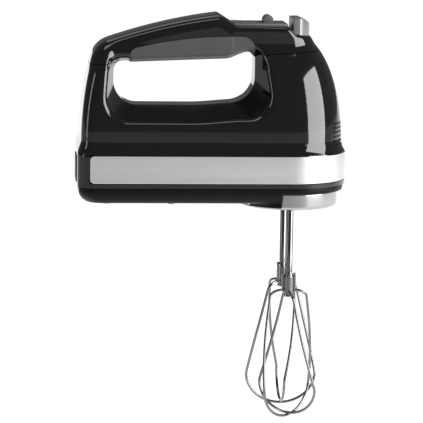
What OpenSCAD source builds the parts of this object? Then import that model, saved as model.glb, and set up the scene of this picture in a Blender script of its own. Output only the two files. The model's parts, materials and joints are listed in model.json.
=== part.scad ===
// Hand mixer: a glossy two-shell body with a grip handle, a sprung beater ejector and two
// wire beaters. A lengthwise motor drives both spindles through one worm.
// The sizes below are laid out from the beater axes (X = 0), the mid-plane (Y = 0) and the
// underside of the base (Z = 0). The whole mixer is then moved so that the middle of the
// grip is the origin. +X points to the nose and +Z up.

/* [Body] */
// Overall length of the body
body_length = 203; // [195:1:245]
// Overall width of the body
body_width = 86; // [84:1:104]
// Height of the handle's highest point above the underside
body_height = 140.6; // [138:0.1:170]
// Wall of the moulded shells
wall = 2.4; // [1.8:0.1:2.9]
// How far the waist stands inside the trim band, each side
waist_inset = 3.4; // [2:0.1:5]
// Radius of the rear corners seen from above
rear_corner = 12; // [6:1:16]
// Height of the joint between the housing and the handle cover, at the nose
seam_nose_z = 112.4; // [111:0.1:114]
// Height of the same joint at the rear
seam_rear_z = 101; // [99:0.1:103]

/* [Handle] */
// Width of the handle
handle_width = 43; // [38:1:52]
// Length of the finger opening
opening_length = 105.3; // [96:0.1:110]
// Height of the finger opening
opening_height = 32.3; // [30:0.1:33]
// Height of the finger opening's floor
opening_floor = 71; // [69:0.1:73]
// Thickness of the soft grip
grip_wall = 3; // [2:0.1:4]
// Width of the chamfered rim round the opening, at the nose end
rim_nose = 12.7; // [8:0.1:14]

/* [Trim] */
// Height of the steel band
band_height = 21; // [16:0.5:23]
// Height of the band's lower edge
band_z = 16.9; // [15:0.1:18]
// Thickness of the band's steel
band_thickness = 0.9; // [0.6:0.1:1.2]
// Gap between the band's rear end and the rear face
band_rear_gap = 9; // [6:0.5:12]
// Radius of the polished nose collar
collar_radius = 37.5; // [34:0.1:38]
// How far the collar stands below the underside
collar_drop = 5; // [3:0.5:7]

/* [Drive] */
// Distance between the two beater axes
beater_spacing = 42; // [41:0.5:44]
// Height of the motor shaft
motor_z = 32; // [31:0.5:33]
// Radius of the motor's stator
stator_radius = 26; // [21.5:0.1:28]
// Length of the lamination stack
stack_length = 34; // [26:1:42]
// Radius of the motor shaft
shaft_radius = 4; // [3.5:0.1:4.5]
// Teeth on each worm wheel
wheel_teeth = 28; // [28:1:28]
// Threads on the worm
worm_starts = 2; // [2:1:2]
// Radius of the hollow spindles
spindle_radius = 6; // [5.5:0.1:6.5]
// Running clearance of shafts and slides, each side
run_gap = 0.05; // [0.03:0.01:0.08]
// Fitting gap between moulded parts
fit_gap = 0.2; // [0.1:0.05:0.3]

/* [Beaters] */
// Radius of a beater's shaft
beater_shaft_radius = 2.5; // [2.2:0.1:3]
// Length of bare shaft between the nose collar and the beater's own collar
beater_neck = 47.3; // [40:1:60]
// Length of the shaft that enters the spindle
beater_socket = 44; // [36:1:46]
// Radius of a beater's collar
beater_collar_radius = 4.9; // [4.5:0.1:6]
// Length of a beater's collar
beater_collar_length = 19; // [16:0.5:24]
// Radius of the wires
wire_radius = 1.05; // [0.8:0.05:1.1]
// Widest radius of a beater
cage_radius = 26.8; // [24:0.1:27.5]
// Radius of a beater's shoulders
shoulder_radius = 15; // [12:0.5:17]
// Length from the collar's lower end to the bottom of the wires
cage_length = 93; // [80:1:100]
// Turn of the wires between the shoulder and the widest point
cage_twist = 45; // [30:1:48]

/* [Controls] */
// Travel of the on and off slide
switch_travel = 4; // [3:0.5:4.5]
// Travel of the speed buttons
key_travel = 0.8; // [0.5:0.1:1]
// How far the cord outlet swings each way
swivel_swing = 40; // [20:1:42]

/* [Hidden] */
$fn = 48;

// Body outline
nose_r = body_width / 2;
rear_x = nose_r - body_length;
band_top = band_z + band_height;
waist_r = nose_r - waist_inset;
flare_height = 12;
deck_z = body_height - 7.7;
ellipse_base = 45;
ellipse_rise = body_height - 13.6 - ellipse_base;
peak_x = -56;
crown_drop = 20.4;
crown_r = 384;
past_peak = 1.4;
peak_slope = 13;
grip_half = handle_width / 2;
base_top = 12;
big = 400;

// Finger opening
opening_right = -27.7;
opening_left = opening_right - opening_length;
opening_top = opening_floor + opening_height;
rim_rear = 7;
rim_floor = 10.5;
rim_inner_y = 12;
rim_outer_y = 38;
notch_rise = 7.8;
grip_overlap = 0.3;
grip_skirt = 6;
grip_left = opening_left + 11.5;
grip_crest_x = opening_right - 15.3;
grip_crest = opening_top + 19.6;

// Where the grip lies, and the frame's origin inside it
grip_x = (opening_left + opening_right) / 2;
grip_z = opening_top + 16.7;

// Drive
wheel_module = 1;
wheel_r = wheel_teeth * wheel_module / 2;
worm_r = beater_spacing / 2 - wheel_r;
wheel_face = 10;
worm_length = 20;
worm_lead = worm_starts * wheel_module * 180 / 57.29578;
spindle_foot = -3;
spindle_top = 66;
gearbox_r = nose_r - band_thickness - wall - 1.4;
gearbox_floor = 24;
gearbox_top = 42;
gearbox_rear = -24;
cover_top = gearbox_top + 3;
stack_front = -62;
stack_rear = stack_front - stack_length;
armature_r = stator_radius * 0.58;
commutator_front = stack_rear - 9;
commutator_length = 12;
commutator_r = 9;
rear_bearing_x = commutator_front - commutator_length - 4;
bearing_length = 7;
bearing_r = 9;
front_bearing_x = -36;
fan_x = stack_front + 8;
fan_length = 8;
bush_r = 8.5;
bush_length = 7;

// Beaters and ejector
collar_z = -collar_drop;
beater_top = collar_z + beater_socket;
beater_collar_top = collar_z - beater_neck;
beater_collar_foot = beater_collar_top - beater_collar_length;
stub_z = beater_collar_foot + 4.5;
widest_z = beater_collar_foot - 0.735 * cage_length;
cage_foot = beater_collar_foot - cage_length;
pin_top = spindle_top + 9;
yoke_z = pin_top + 0.1;
button_rear = 0.3;
button_front = 13.9;
button_half = 15.5;
button_nose = 18.5;
button_skirt = 5;
button_wall = 1.6;
seat_z = deck_z - 7.5;

// Controls
deck_rear = -44;
deck_front = -4;
panel_half = 17.5;
panel_thickness = 2;
key_x = [-36, -28];
knob_x = -17.5;
knob_half = 3.9;
knob_rise = 2.4;
swivel_x = rear_x + 27;
swivel_y = 26;
swivel_r = 12;
swivel_reach = 34;
outlet_z = 8;
outlet_bore = 3.5;
outlet_wall = 1.6;
outlet_room = outlet_bore + outlet_wall + 0.4;

// Points along an arc from angle a0 to a1
function arc(cx, cy, r, a0, a1, n) =
    [for (i = [0:n]) let (a = a0 + (a1 - a0) * i / n) [cx + r * cos(a), cy + r * sin(a)]];

// Half-width of the body at height z, above the band
function flare_w(z) = waist_r + waist_inset * pow(1 - (z - band_top) / flare_height, 2.2);
function ellipse_w(z) = waist_r * sqrt(max(0, 1 - pow((z - ellipse_base) / ellipse_rise, 2)));

// Half profile of the body: width against height, moved in by t
function body_profile(t) = concat(
    [[0, base_top], [nose_r - t, base_top], [nose_r - t, band_top]],
    [for (i = [1:3]) let (z = band_top + flare_height * i / 4) [flare_w(z) - t, z]],
    [for (i = [0:8]) let (z = 50 + (deck_z - 10 - t - 50) * i / 8) [ellipse_w(z) - t, z]],
    [[0, deck_z - 10 - t]]);

// A profile turned round the nose and drawn back to the rear
module long_body(profile, front_x, rear) {
    translate([front_x, 0, 0]) rotate([0, 0, -90]) rotate_extrude(angle = 180) polygon(profile);
    mirrored = [for (p = profile) [-p[0], p[1]]];
    translate([rear, 0, 0]) rotate([90, 0, 90]) linear_extrude(front_x - rear) {
        polygon(profile);
        polygon(mirrored);
    }
}

// Side view (X and Z) drawn out to width 2 * half
module side_slab(points, half = 60) {
    translate([0, half, 0]) rotate([90, 0, 0]) linear_extrude(2 * half) polygon(points);
}

// Plan with rounded rear corners
module plan_block(t, z0, z1) {
    c = rear_corner - t;
    translate([0, 0, z0]) linear_extrude(z1 - z0) polygon(concat(
        [[nose_r + 20, -nose_r - 20], [nose_r + 20, nose_r + 20], [0, nose_r + 20], [0, nose_r - t]],
        arc(rear_x + t + c, nose_r - t - c, c, 90, 180, 5),
        arc(rear_x + t + c, c + t - nose_r, c, 180, 270, 5),
        [[0, t - nose_r], [0, -nose_r - 20]]));
}

// Side outline of the upper body, moved in by t
function side_outline(t) = [[nose_r + 20, base_top - 1], [rear_x + t, base_top - 1],
    [rear_x + t, band_top], [rear_x + 2.4 + t, band_top + flare_height * 0.6],
    [rear_x + 4.2 + t, 68], [rear_x + 8 + t, 93], [rear_x + 12.6 + t, body_height - 26],
    [rear_x + 17 + t, body_height - crown_drop - t + 1], [rear_x + 24 + t, body_height - t],
    [rear_x + 24 + t, body_height + 20], [nose_r + 20, body_height + 20]];

// Handle bar: an arched crown drawn on a very large radius, then a level deck
module handle_bar(t) {
    h = grip_half - t;
    edge = 12 - t / 2;
    chord = peak_x - (rear_x + 20);
    lean = asin(crown_drop / norm([chord, crown_drop]));
    sweep = 2 * asin(norm([chord, crown_drop]) / 2 / crown_r);
    // the circle's centre is found from the peak and the direction of its radius there
    start = 90 + lean - sweep / 2 - past_peak;
    cx = peak_x - crown_r * cos(start + past_peak);
    cz = body_height - crown_r * sin(start + past_peak);
    low = crown_r - 52;
    section = concat([[low, -h], [crown_r - edge - t, -h]],
        [for (i = [1:3]) let (a = i * 22.5)
            [crown_r - edge - t + (edge - 1.2) * sin(a), -(h - edge) - edge * cos(a)]],
        [[crown_r - t, -(h - edge) * 0.7], [crown_r - t, (h - edge) * 0.7]],
        [for (i = [3:-1:1]) let (a = i * 22.5)
            [crown_r - edge - t + (edge - 1.2) * sin(a), (h - edge) + edge * cos(a)]],
        [[crown_r - edge - t, h], [low, h]]);
    translate([cx, 0, cz]) rotate([90, -start, 0])
        rotate_extrude(angle = sweep + 2.5 + past_peak, $fn = 720) polygon(section);
}

module deck_bar(t) {
    r = grip_half - 1 - t;
    top = deck_z - t;
    long_body([[0, 96], [r, 96], [r, top - 6], [r - 1.2, top - 2.5], [r - 4, top], [0, top]],
        button_front + 2.5 - (grip_half - 1), peak_x - 2);
}

// Outline of the finger opening
function opening_outline(g = 0) = concat(
    arc(opening_left + 18, opening_floor + 18, 18 + g, 180, 258, 6),
    arc(opening_right - 19, opening_floor + 18.5, 18.5 + g, 280, 360, 6),
    arc(opening_right - 6.8, opening_top + notch_rise - 6.8, 6.8 + g, 0, 90, 4),
    [[opening_right - 10.5, opening_top + notch_rise - 1.6 + g],
        [opening_right - 15, opening_top + 4.1 + g], [opening_right - 19.3, opening_top + 3.1 + g],
        [opening_right - 45, opening_top + 2 + g], [opening_right - 84, opening_top + g]],
    arc(opening_left + 7, opening_top - 7, 7 + g, 90, 180, 4));

module rounded_slab(x0, x1, z0, z1, r, y) {
    translate([0, y, 0]) rotate([90, 0, 0]) linear_extrude(0.02) polygon(concat(
        arc(x0 + r, z0 + r, r, 180, 270, 5), arc(x1 - r, z0 + r, r, 270, 360, 5),
        arc(x1 - r, z1 - r, r, 0, 90, 5), arc(x0 + r, z1 - r, r, 90, 180, 5)));
}

// The opening with its wide chamfered rim on one side
module rim_cut(side) {
    hull() {
        rounded_slab(opening_left, opening_right, opening_floor, opening_top, 9,
            side * rim_inner_y);
        rounded_slab(opening_left - rim_rear * 1.5, opening_right + rim_nose * 1.4,
            opening_floor - rim_floor * 1.4, opening_top + 13, 20,
            side * (rim_inner_y + (rim_outer_y - rim_inner_y) * 1.4));
    }
}

module opening_cut(g = 0) {
    side_slab(opening_outline(g));
    rim_cut(1);
    rim_cut(-1);
}

// Plan of everything above the opening: the handle's own width, flaring into both ends
module handle_plan(t, z0, z1) {
    h = grip_half - t;
    flare = [opening_right + 4.6, opening_left - 2.6];
    translate([0, 0, z0]) linear_extrude(z1 - z0) polygon([[80, -60], [80, 60],
        [flare[0] + 24, 60], [flare[0] + 12, h + 12], [flare[0] + 5, h + 3], [flare[0], h],
        [flare[1], h], [flare[1] - 5, h + 4], [flare[1] - 8, 60], [-230, 60], [-230, -60],
        [flare[1] - 8, -60], [flare[1] - 5, -h - 4], [flare[1], -h], [flare[0], -h],
        [flare[0] + 5, -h - 3], [flare[0] + 12, -h - 12], [flare[0] + 24, -60]]);
}

module shell_solid(t) {
    intersection() {
        union() {
            long_body(body_profile(t), 0, rear_x - 5);
            intersection() {
                handle_bar(t);
                side_slab([[-big / 2, 96], [-big / 2, body_height + 9], [peak_x + 0.5 - t, body_height + 9],
                    [peak_x + 0.5 - t, body_height - t], [peak_x + peak_slope - t, deck_z - t],
                    [peak_x + peak_slope - t, 96]]);
            }
            deck_bar(t);
        }
        side_slab(side_outline(t));
        plan_block(t, 0, 160);
        union() {
            translate([-big / 2, -60, 0]) cube([big, 120, opening_top]);
            handle_plan(t, opening_top - 0.01, 160);
        }
    }
}

// Everything above (or below) the sloping joint, moved by g
module seam_half(above, g) {
    slope = (seam_nose_z - seam_rear_z) / (25 - rear_x);
    z_front = seam_nose_z + slope * 40;
    z_rear = seam_rear_z - slope * 20;
    far = above ? 200 : -50;
    side_slab([[65, z_front + g], [65, far], [rear_x - 20, far], [rear_x - 20, z_rear + g]], 80);
}

// ---- Shells ----

module main_housing() {
    color("#1b1b1d") difference() {
        intersection() {
            shell_solid(0);
            seam_half(false, 0);
        }
        intersection() {
            shell_solid(wall);
            translate([-big / 2, -60, base_top - 1]) cube([big, 120, 160]);
        }
        floor_pocket();
        opening_cut();
        grip_bay();
        // the band sits flush in this recess
        difference() {
            translate([rear_x + band_rear_gap, -60, band_z]) cube([big, 120, band_height]);
            band_plan(band_thickness, band_z - 1, band_top + 1);
        }
        nose_vents();
        heel_recess();
        swivel_cut();
    }
    // the walls of the finger opening
    color("#1b1b1d") opening_tube();
}

// Room between the uprights for the soft grip
module grip_bay() {
    bay_left = grip_left - fit_gap;
    translate([bay_left, -60, opening_top - grip_skirt])
        cube([opening_right + grip_overlap + fit_gap - bay_left, 120, 30]);
}

// Open bottom of the housing
module floor_pocket() {
    translate([-big / 2, -60, base_top - 2]) intersection() {
        cube([big, 120, 2.5]);
        translate([big / 2, 60, 2 - base_top]) plan_block(wall, 0, 60);
    }
}

// The tube of wall that lines the finger opening, below the joint
module opening_tube() {
    difference() {
        intersection() {
            shell_solid(0);
            seam_half(false, 0);
            union() {
                side_slab(opening_outline(wall));
                intersection() {
                    rim_wall(1);
                    translate([-big, 0, 0]) cube([2 * big, 60, 200]);
                }
                intersection() {
                    rim_wall(-1);
                    translate([-big, -60, 0]) cube([2 * big, 60, 200]);
                }
            }
        }
        opening_cut();
        grip_bay();
    }
}

module rim_wall(side) {
    hull() {
        rounded_slab(opening_left - wall, opening_right + wall, opening_floor - wall,
            opening_top + wall, 9 + wall, side * rim_inner_y);
        rounded_slab(opening_left - rim_rear * 1.5 - wall,
            opening_right + rim_nose * 1.4 + wall, opening_floor - rim_floor * 1.4 - wall,
            opening_top + 13, 20, side * (rim_inner_y + (rim_outer_y - rim_inner_y) * 1.4));
    }
}

// Six rows of air slots low on each side of the nose
module nose_vents() {
    for (side = [-1, 1], column = [0:5], row = [0:5])
        rotate([0, 0, side * (14 + 4.7 * column)])
            translate([nose_r - 8, -1.1, band_top + 5 + row * 3.2]) cube([12, 2.2, 1.9]);
}

module heel_recess() {
    translate([rear_x - 1, -14, 14]) cube([1 + 1, 28, 20]);
}

// Region of the handle side that the soft grip takes up, grown by g
module grip_zone(g) {
    side_slab(concat(
        [[grip_left - g, opening_top - 12], [grip_left - g, opening_top + 6],
            [grip_left + 1.2 - g, opening_top + 9 + g]],
        [for (i = [0:8]) let (x = grip_left + 4 + (opening_right - 12 - grip_left) * i / 8)
            [x, grip_crest + g - pow(x - grip_crest_x, 2) / 633]],
        [[opening_right - 4, grip_crest - 1.9 + g], [opening_right - 0.8 + g, grip_crest - 5.4],
            [opening_right + grip_overlap + g, grip_crest - 9.5],
            [opening_right + grip_overlap + g, opening_top - 12]]));
}

module handle_cover() {
    color("#1b1b1d") difference() {
        intersection() {
            shell_solid(0);
            seam_half(true, 0.15);
        }
        shell_solid(wall);
        opening_cut(0.3);
        grip_zone(fit_gap);
        // recess under the control panel
        translate([deck_rear - fit_gap, -panel_half - fit_gap, deck_z - panel_thickness])
            cube([deck_front - deck_rear + 2 * fit_gap, 2 * (panel_half + fit_gap), 10]);
        deck_slots(0.6);
        eject_seat();
    }
}

// Everything that reaches down through the deck, with g of room
module deck_slots(g) {
    for (x = key_x) translate([x - 2.2 - g, -4 - g, deck_z - 8])
        cube([4.4 + 2 * g, 8 + 2 * g, 20]);
    translate([knob_x - 2 - g, -2 - g, deck_z - 8])
        cube([4 + switch_travel + 2 * g, 4 + 2 * g, 20]);
}

// Plan of the ejector button, grown by g: flat behind and round in front
module button_plan(g, z0, z1) {
    intersection() {
        translate([button_rear - g, -button_half - g, z0])
            cube([button_front - button_rear + 2 * g, 2 * (button_half + g), z1 - z0]);
        translate([button_front - button_nose, 0, z0]) cylinder(r = button_nose + g, h = z1 - z0,
            $fn = 96);
    }
}

// The sloping seat that the ejector button stands over, and its way down
module eject_seat() {
    side_slab([[deck_front - 0.5, deck_z + 9], [deck_front - 0.5, deck_z - 0.2],
        [button_rear + 2, seat_z + 1.2], [button_front + 0.5, seat_z - 0.8],
        [button_front + 12, seat_z - 3], [button_front + 12, deck_z + 9]]);
    button_plan(0.3, seat_z - 20, deck_z + 20);
}

module lower_housing() {
    color("#1b1b1d") difference() {
        union() {
            intersection() {
                long_body([[0, 0], [nose_r - 7.5, 0], [nose_r - 4, 1.6], [nose_r - 2, 5.5],
                    [nose_r - 1.4, base_top - 0.3], [0, base_top - 0.3]], 0, rear_x - 5);
                side_slab([[80, -1], [rear_x + 7, -1], [rear_x + 7, 0], [rear_x + 3, 4.5],
                    [rear_x + 1, 9], [rear_x + 1, 40], [80, 40]]);
                plan_block(1, -1, 40);
            }
            // skirt round the rear half of the nose collar
            intersection() {
                translate([0, 0, collar_z + 1.6]) cylinder(r = collar_radius + 2.2,
                    h = base_top - collar_z - 5, $fn = 96);
                translate([-60, -60, -20]) cube([52, 120, 60]);
            }
        }
        intersection() {
            long_body([[0, 1.8], [nose_r - 9, 1.8], [nose_r - 5.6, 4], [nose_r - 4.2, 8],
                [nose_r - 4, 30], [0, 30]], 0, rear_x);
            plan_block(1 + wall, -1, 40);
            difference() {
                translate([rear_x + 7, -60, -1]) cube([big, 120, 60]);
                screw_posts(3.6);
                swivel_post();
            }
        }
        // seat of the nose collar, open to the front
        translate([0, 0, -30]) cylinder(r = collar_radius + 0.2, h = 30 + 7.4, $fn = 96);
        translate([-8, -60, -30]) cube([100, 120, 30 + 7.4]);
        screw_holes(1.7, 3.4);
        swivel_cut();
    }
    color("#1b1b1d") motor_cradle();
}

// Two ribs that hold up the stator
module motor_cradle() {
    difference() {
        for (x = [0.2, 0.7]) translate([stack_rear + x * stack_length, -18, 1])
            cube([4, 36, motor_z - 18]);
        on_motor(stack_rear - 5) cylinder(r = stator_radius + 0.15, h = stack_length + 10);
    }
}

screw_xy = [[-34, 31], [-34, -31], [-90, 31], [-90, -31], [rear_x + 16, 0], [rear_x + 22, -29]];

module screw_posts(r) {
    for (p = screw_xy) translate([p[0], p[1], -1]) cylinder(r = r, h = base_top + 12);
}

module screw_holes(r, head) {
    for (p = screw_xy) translate([p[0], p[1], -5]) {
        cylinder(r = r, h = 40);
        cylinder(r = head, h = 7);
    }
}

module housing_screws() {
    color("silver") for (p = screw_xy) translate([p[0], p[1], 0.6]) difference() {
        union() {
            cylinder(r = 2.9, h = 1.4);
            cylinder(r = 1.4, h = 10);
        }
        translate([-1.8, -0.3, -1]) cube([3.6, 0.6, 2]);
        translate([-0.3, -1.8, -1]) cube([0.6, 3.6, 2]);
    }
}

// Plan of the band moved in by t: straight sides and a round nose
module band_plan(t, z0, z1) {
    long_body([[0, z0], [nose_r - t, z0], [nose_r - t, z1], [0, z1]], 0, rear_x - 20);
}

module trim_band() {
    color("#c9cacc") difference() {
        band_plan(0, band_z + 0.1, band_top - 0.1);
        band_plan(band_thickness - 0.05, band_z - 1, band_top + 1);
        translate([rear_x - 40, -60, 0]) cube([40 + band_rear_gap + 0.2, 120, 60]);
        // rounded upper rear corners
        translate([rear_x + band_rear_gap, 0, band_top]) rotate([90, 0, 0])
            linear_extrude(120, center = true) polygon(concat([[-1, 1]],
                [[0.2, 1], [0.2, -3.2]], arc(3.4, -3.2, 3.2, 180, 90, 4), [[3.4, 1]]));
    }
}

module nose_collar() {
    color("#d8d9db") difference() {
        rotate_extrude($fn = 96) polygon(concat([[0, collar_z + 0.6], [33, collar_z + 0.6],
            [33.6, collar_z]], arc(collar_radius - 3, collar_z + 3, 3, 270, 360, 5),
            [[collar_radius, 7.2], [collar_radius - 2, 7.2], [collar_radius - 2, collar_z + 4],
            [0, collar_z + 4]]));
        for (s = [-1, 1]) translate([0, s * beater_spacing / 2, collar_z - 5])
            cylinder(r = spindle_radius + 1.5, h = 20);
    }
}

// ---- Handle ----

module soft_grip() {
    color("#4a4b4d") difference() {
        intersection() {
            shell_solid(0);
            grip_zone(0);
            translate([-big / 2, -60, opening_top - grip_skirt + fit_gap])
                cube([big, 120, 60]);
        }
        intersection() {
            shell_solid(grip_wall);
            translate([-big / 2, -60, opening_top + grip_wall + notch_rise + 0.3])
                cube([big, 120, 60]);
        }
        opening_cut();
    }
}

module handle_carrier() {
    color("#26262a") difference() {
        intersection() {
            shell_solid(grip_wall + 0.01);
            side_slab([[opening_left + 2, opening_top + grip_wall + notch_rise + 0.31],
                [opening_left + 12, opening_top + 14], [opening_right - 2, opening_top + 17],
                [opening_right - 0.5, opening_top + grip_wall + notch_rise + 0.31]]);
        }
        shell_solid(grip_wall + 2);
    }
}

// ---- Controls ----

module control_panel() {
    color("#6b6d70") difference() {
        side_slab([[deck_rear, deck_z - panel_thickness], [deck_rear, deck_z + 0.2],
            [deck_rear + 7, deck_z], [deck_front, deck_z],
            [deck_front, deck_z - panel_thickness]], panel_half);
        deck_slots(0.3);
        translate([key_x[1] + 4.2, -6, deck_z - 0.6]) cube([4.2, 12, 5]);
    }
}

module speed_window() {
    color("#101214") translate([key_x[1] + 4.25, -5.95, deck_z - 0.6]) cube([4.1, 11.9, 0.7]);
}

module speed_key(x) {
    color("#57595c") translate([x - 2.2, -4, deck_z - 5]) cube([4.4, 8, 5 + key_travel + 0.2]);
}

module speed_up_button() { speed_key(key_x[0]); }
module speed_down_button() { speed_key(key_x[1]); }

module power_switch_knob() {
    color("#7c7e80") {
        translate([knob_x - 2, -2, deck_z - 5]) cube([4, 4, 5.2]);
        translate([knob_x, 0, deck_z + 0.15]) rotate([90, 0, 0])
            linear_extrude(12, center = true) polygon(concat([[-knob_half, 0]],
                arc(0, knob_rise, knob_half, 180, 0, 8), [[knob_half, 0]]));
    }
}

board_z = deck_z - 12;

module circuit_board() {
    color("#1f5a3a") translate([deck_rear + 4, -13, board_z]) cube([36, 26, 1.6]);
    color("#d8d2c0") translate([deck_rear + 6, -11, board_z + 1.6 - 0.01]) cube([6, 4, 3]);
    color("#202020") translate([deck_rear + 6, 5, board_z + 1.6 - 0.01]) cube([10, 6, 2]);
}

module power_switch_body() {
    color("#2c2c30") translate([knob_x - 7, -5, board_z + 1.6])
        cube([14 + switch_travel, 10, deck_z - 5.3 - board_z - 1.6]);
}

// ---- Ejector ----

// Side view of the button moved in by t
function button_side(t) = [[button_rear + t, seat_z - button_skirt - 20 * t],
    [button_rear + t, deck_z + 4.6 - t], [button_rear + 6, deck_z + 4.8 - t],
    [button_rear + 10, deck_z + 3.2 - t], [button_front - t, deck_z + 0.4 - t],
    [button_front - t, seat_z - button_skirt - 20 * t]];

module eject_button() {
    color("#b9babc") difference() {
        intersection() {
            button_plan(0, 0, 200);
            side_slab(button_side(0), button_half);
        }
        intersection() {
            button_plan(-button_wall, 0, 200);
            side_slab(button_side(button_wall));
        }
    }
}

stem_x = (button_rear + button_front) / 2;

module eject_yoke() {
    color("#e3e0d6") {
        translate([-4, -beater_spacing / 2 - 4, yoke_z]) cube([8, beater_spacing + 8, 4]);
        translate([-4, -5, yoke_z + 4 - 0.01]) cube([stem_x + 7, 10, 3]);
        translate([stem_x - 3, -5, yoke_z + 7 - 0.02]) cube([6, 10, seat_z - 5 - yoke_z]);
        button_plan(-button_wall, seat_z + 1, seat_z + 2.5);
    }
}

spring_r = 4.5;
spring_wire = 0.55;
spring_turns = 7;
spring_foot = cover_top + 0.6;

// A round tube of radius r along a path, closed at both ends
function path_dir(p, i) = let (a = p[max(0, i - 1)], b = p[min(len(p) - 1, i + 1)])
    (b - a) / norm(b - a);
function side_dir(d) = let (u = abs(d[2]) > 0.9 ? [1, 0, 0] : [0, 0, 1], c = cross(d, u))
    c / norm(c);
// carries one side direction along the path so that the tube doesn't twist
function carry(p, i, last) = let (d = path_dir(p, i), v = last - d * (last * d)) v / norm(v);
function frames(p, i, last, out) = i >= len(p) ? out :
    let (v = carry(p, i, last)) frames(p, i + 1, v, concat(out, [v]));

module swept_tube(p, r, sides) {
    first = side_dir(path_dir(p, 0));
    f = frames(p, 0, first, []);
    points = [for (i = [0:len(p) - 1]) let (d = path_dir(p, i), w = cross(d, f[i]))
        for (k = [0:sides - 1]) let (a = 360 * k / sides)
            p[i] + r * (cos(a) * f[i] + sin(a) * w)];
    rings = [for (i = [0:len(p) - 2], k = [0:sides - 1]) let (n = (k + 1) % sides)
        [i * sides + k, (i + 1) * sides + k, (i + 1) * sides + n, i * sides + n]];
    end = (len(p) - 1) * sides;
    polyhedron(points, concat(rings, [[for (k = [0:sides - 1]) k],
        [for (k = [sides - 1:-1:0]) end + k]]), convexity = 8);
}

module eject_spring() {
    rise = (yoke_z - 0.7 - spring_foot) / spring_turns / 14;
    color("silver") swept_tube([for (i = [0:spring_turns * 14]) let (a = i * 360 / 14)
        [spring_r * cos(a), spring_r * sin(a), spring_foot + rise * i]], spring_wire, 6);
}

module push_pin(s) {
    color("silver") translate([0, s * beater_spacing / 2, beater_top])
        cylinder(r = beater_shaft_radius, h = pin_top - beater_top);
}

module push_pin_left() { push_pin(1); }
module push_pin_right() { push_pin(-1); }

// ---- Gearbox ----

module gearbox_housing() {
    color("#8d8f91") difference() {
        union() {
            long_body([[0, gearbox_floor - 3], [gearbox_r, gearbox_floor - 3],
                [gearbox_r, gearbox_top], [0, gearbox_top]], 0, gearbox_rear);
            for (s = [-1, 1]) translate([0, s * beater_spacing / 2, 9])
                cylinder(r = bush_r + 2.5, h = gearbox_floor - 3 - 9 + 1);
        }
        for (s = [-1, 1]) translate([0, s * beater_spacing / 2, 0]) {
            translate([0, 0, gearbox_floor]) cylinder(r = wheel_r + wheel_module + 0.7, h = 40);
            translate([0, 0, 9 + 1.5]) cylinder(r = bush_r, h = bush_length);
            cylinder(r = spindle_radius + 0.8, h = 40);
        }
        translate([gearbox_rear - 1, 0, motor_z]) rotate([0, 90, 0]) cylinder(r = 9.5, h = 38);
        translate([-18, -9.5, motor_z]) cube([32, 19, 30]);
        gearbox_screw_holes();
    }
}

gear_screw_xy = [[-18, 32], [-18, -32], [19, 25], [19, -25]];

module gearbox_screw_holes() {
    for (p = gear_screw_xy) translate([p[0], p[1], gearbox_top - 7])
        cylinder(r = 1.45, h = 20);
}

module gearbox_screws() {
    color("silver") for (p = gear_screw_xy) translate([p[0], p[1], gearbox_top - 6]) {
        cylinder(r = 1.4, h = 6 + cover_top - gearbox_top + 0.1);
        translate([0, 0, 6 + cover_top - gearbox_top]) cylinder(r = 2.7, h = 1.6);
    }
}

module gearbox_cover() {
    color("#9a9c9e") difference() {
        union() {
            long_body([[0, gearbox_top], [gearbox_r - 1.5, gearbox_top],
                [gearbox_r - 1.5, cover_top], [0, cover_top]], 0, gearbox_rear);
            for (s = [-1, 1]) translate([0, s * beater_spacing / 2, gearbox_top])
                cylinder(r = bush_r + 2.5, h = 14);
            translate([0, 0, gearbox_top]) cylinder(r = spring_r - 1.2, h = 14);
        }
        for (s = [-1, 1]) translate([0, s * beater_spacing / 2, 0]) {
            translate([0, 0, gearbox_top + 14 - bush_length]) cylinder(r = bush_r, h = 20);
            cylinder(r = spindle_radius + 0.8, h = 80);
        }
        gearbox_screw_holes();
    }
}

// Four plain bushes that carry the two spindles
module spindle_bushes() {
    color("#b08d57") for (s = [-1, 1], z = [10.5, gearbox_top + 14 - bush_length])
        translate([0, s * beater_spacing / 2, z]) difference() {
            cylinder(r = bush_r, h = bush_length);
            translate([0, 0, -1]) cylinder(r = spindle_radius + run_gap, h = bush_length + 2);
        }
}

module spindle(s) {
    color("#b5b7ba") translate([0, s * beater_spacing / 2, 0]) difference() {
        union() {
            translate([0, 0, spindle_foot]) cylinder(r = spindle_radius,
                h = spindle_top - spindle_foot);
            // thrust shoulder that rests on the gearbox floor
            translate([0, 0, gearbox_floor + 0.1]) cylinder(r = bush_r, h = 1.6);
        }
        translate([0, 0, spindle_foot - 1]) cylinder(r = beater_shaft_radius + run_gap,
            h = spindle_top - spindle_foot + 2);
    }
}

module spindle_left() { spindle(1); }
module spindle_right() { spindle(-1); }

tooth_backlash = 0.045;
tooth_lean = atan(worm_lead / (6.2832 * worm_r));

// Outline of a toothed wheel: each tooth narrows from root to tip
function tooth_outline(n, root, pitch, tip, backlash) = [for (i = [0:n - 1], c = [
        [root, -0.36], [pitch, -0.25 + backlash], [tip, -0.13 + backlash],
        [tip, 0.13 - backlash], [pitch, 0.25 - backlash], [root, 0.36]])
    let (a = 360 / n * (i + c[1])) [c[0] * cos(a), c[0] * sin(a)]];

module worm_wheel(s) {
    turn = wheel_face * tan(tooth_lean) / wheel_r * 57.29578;
    color("#e8e4d8") translate([0, s * beater_spacing / 2, motor_z]) difference() {
        // half the helix is taken back so that a tooth's middle faces the worm
        rotate([0, 0, -turn / 2]) linear_extrude(wheel_face, center = true,
            twist = -turn, slices = 4) polygon(tooth_outline(wheel_teeth,
                wheel_r - 1.3, wheel_r, wheel_r + 0.75, tooth_backlash));
        cylinder(r = spindle_radius, h = 30, center = true);
    }
}

module worm_wheel_left() { worm_wheel(1); }
module worm_wheel_right() { worm_wheel(-1); }

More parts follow.
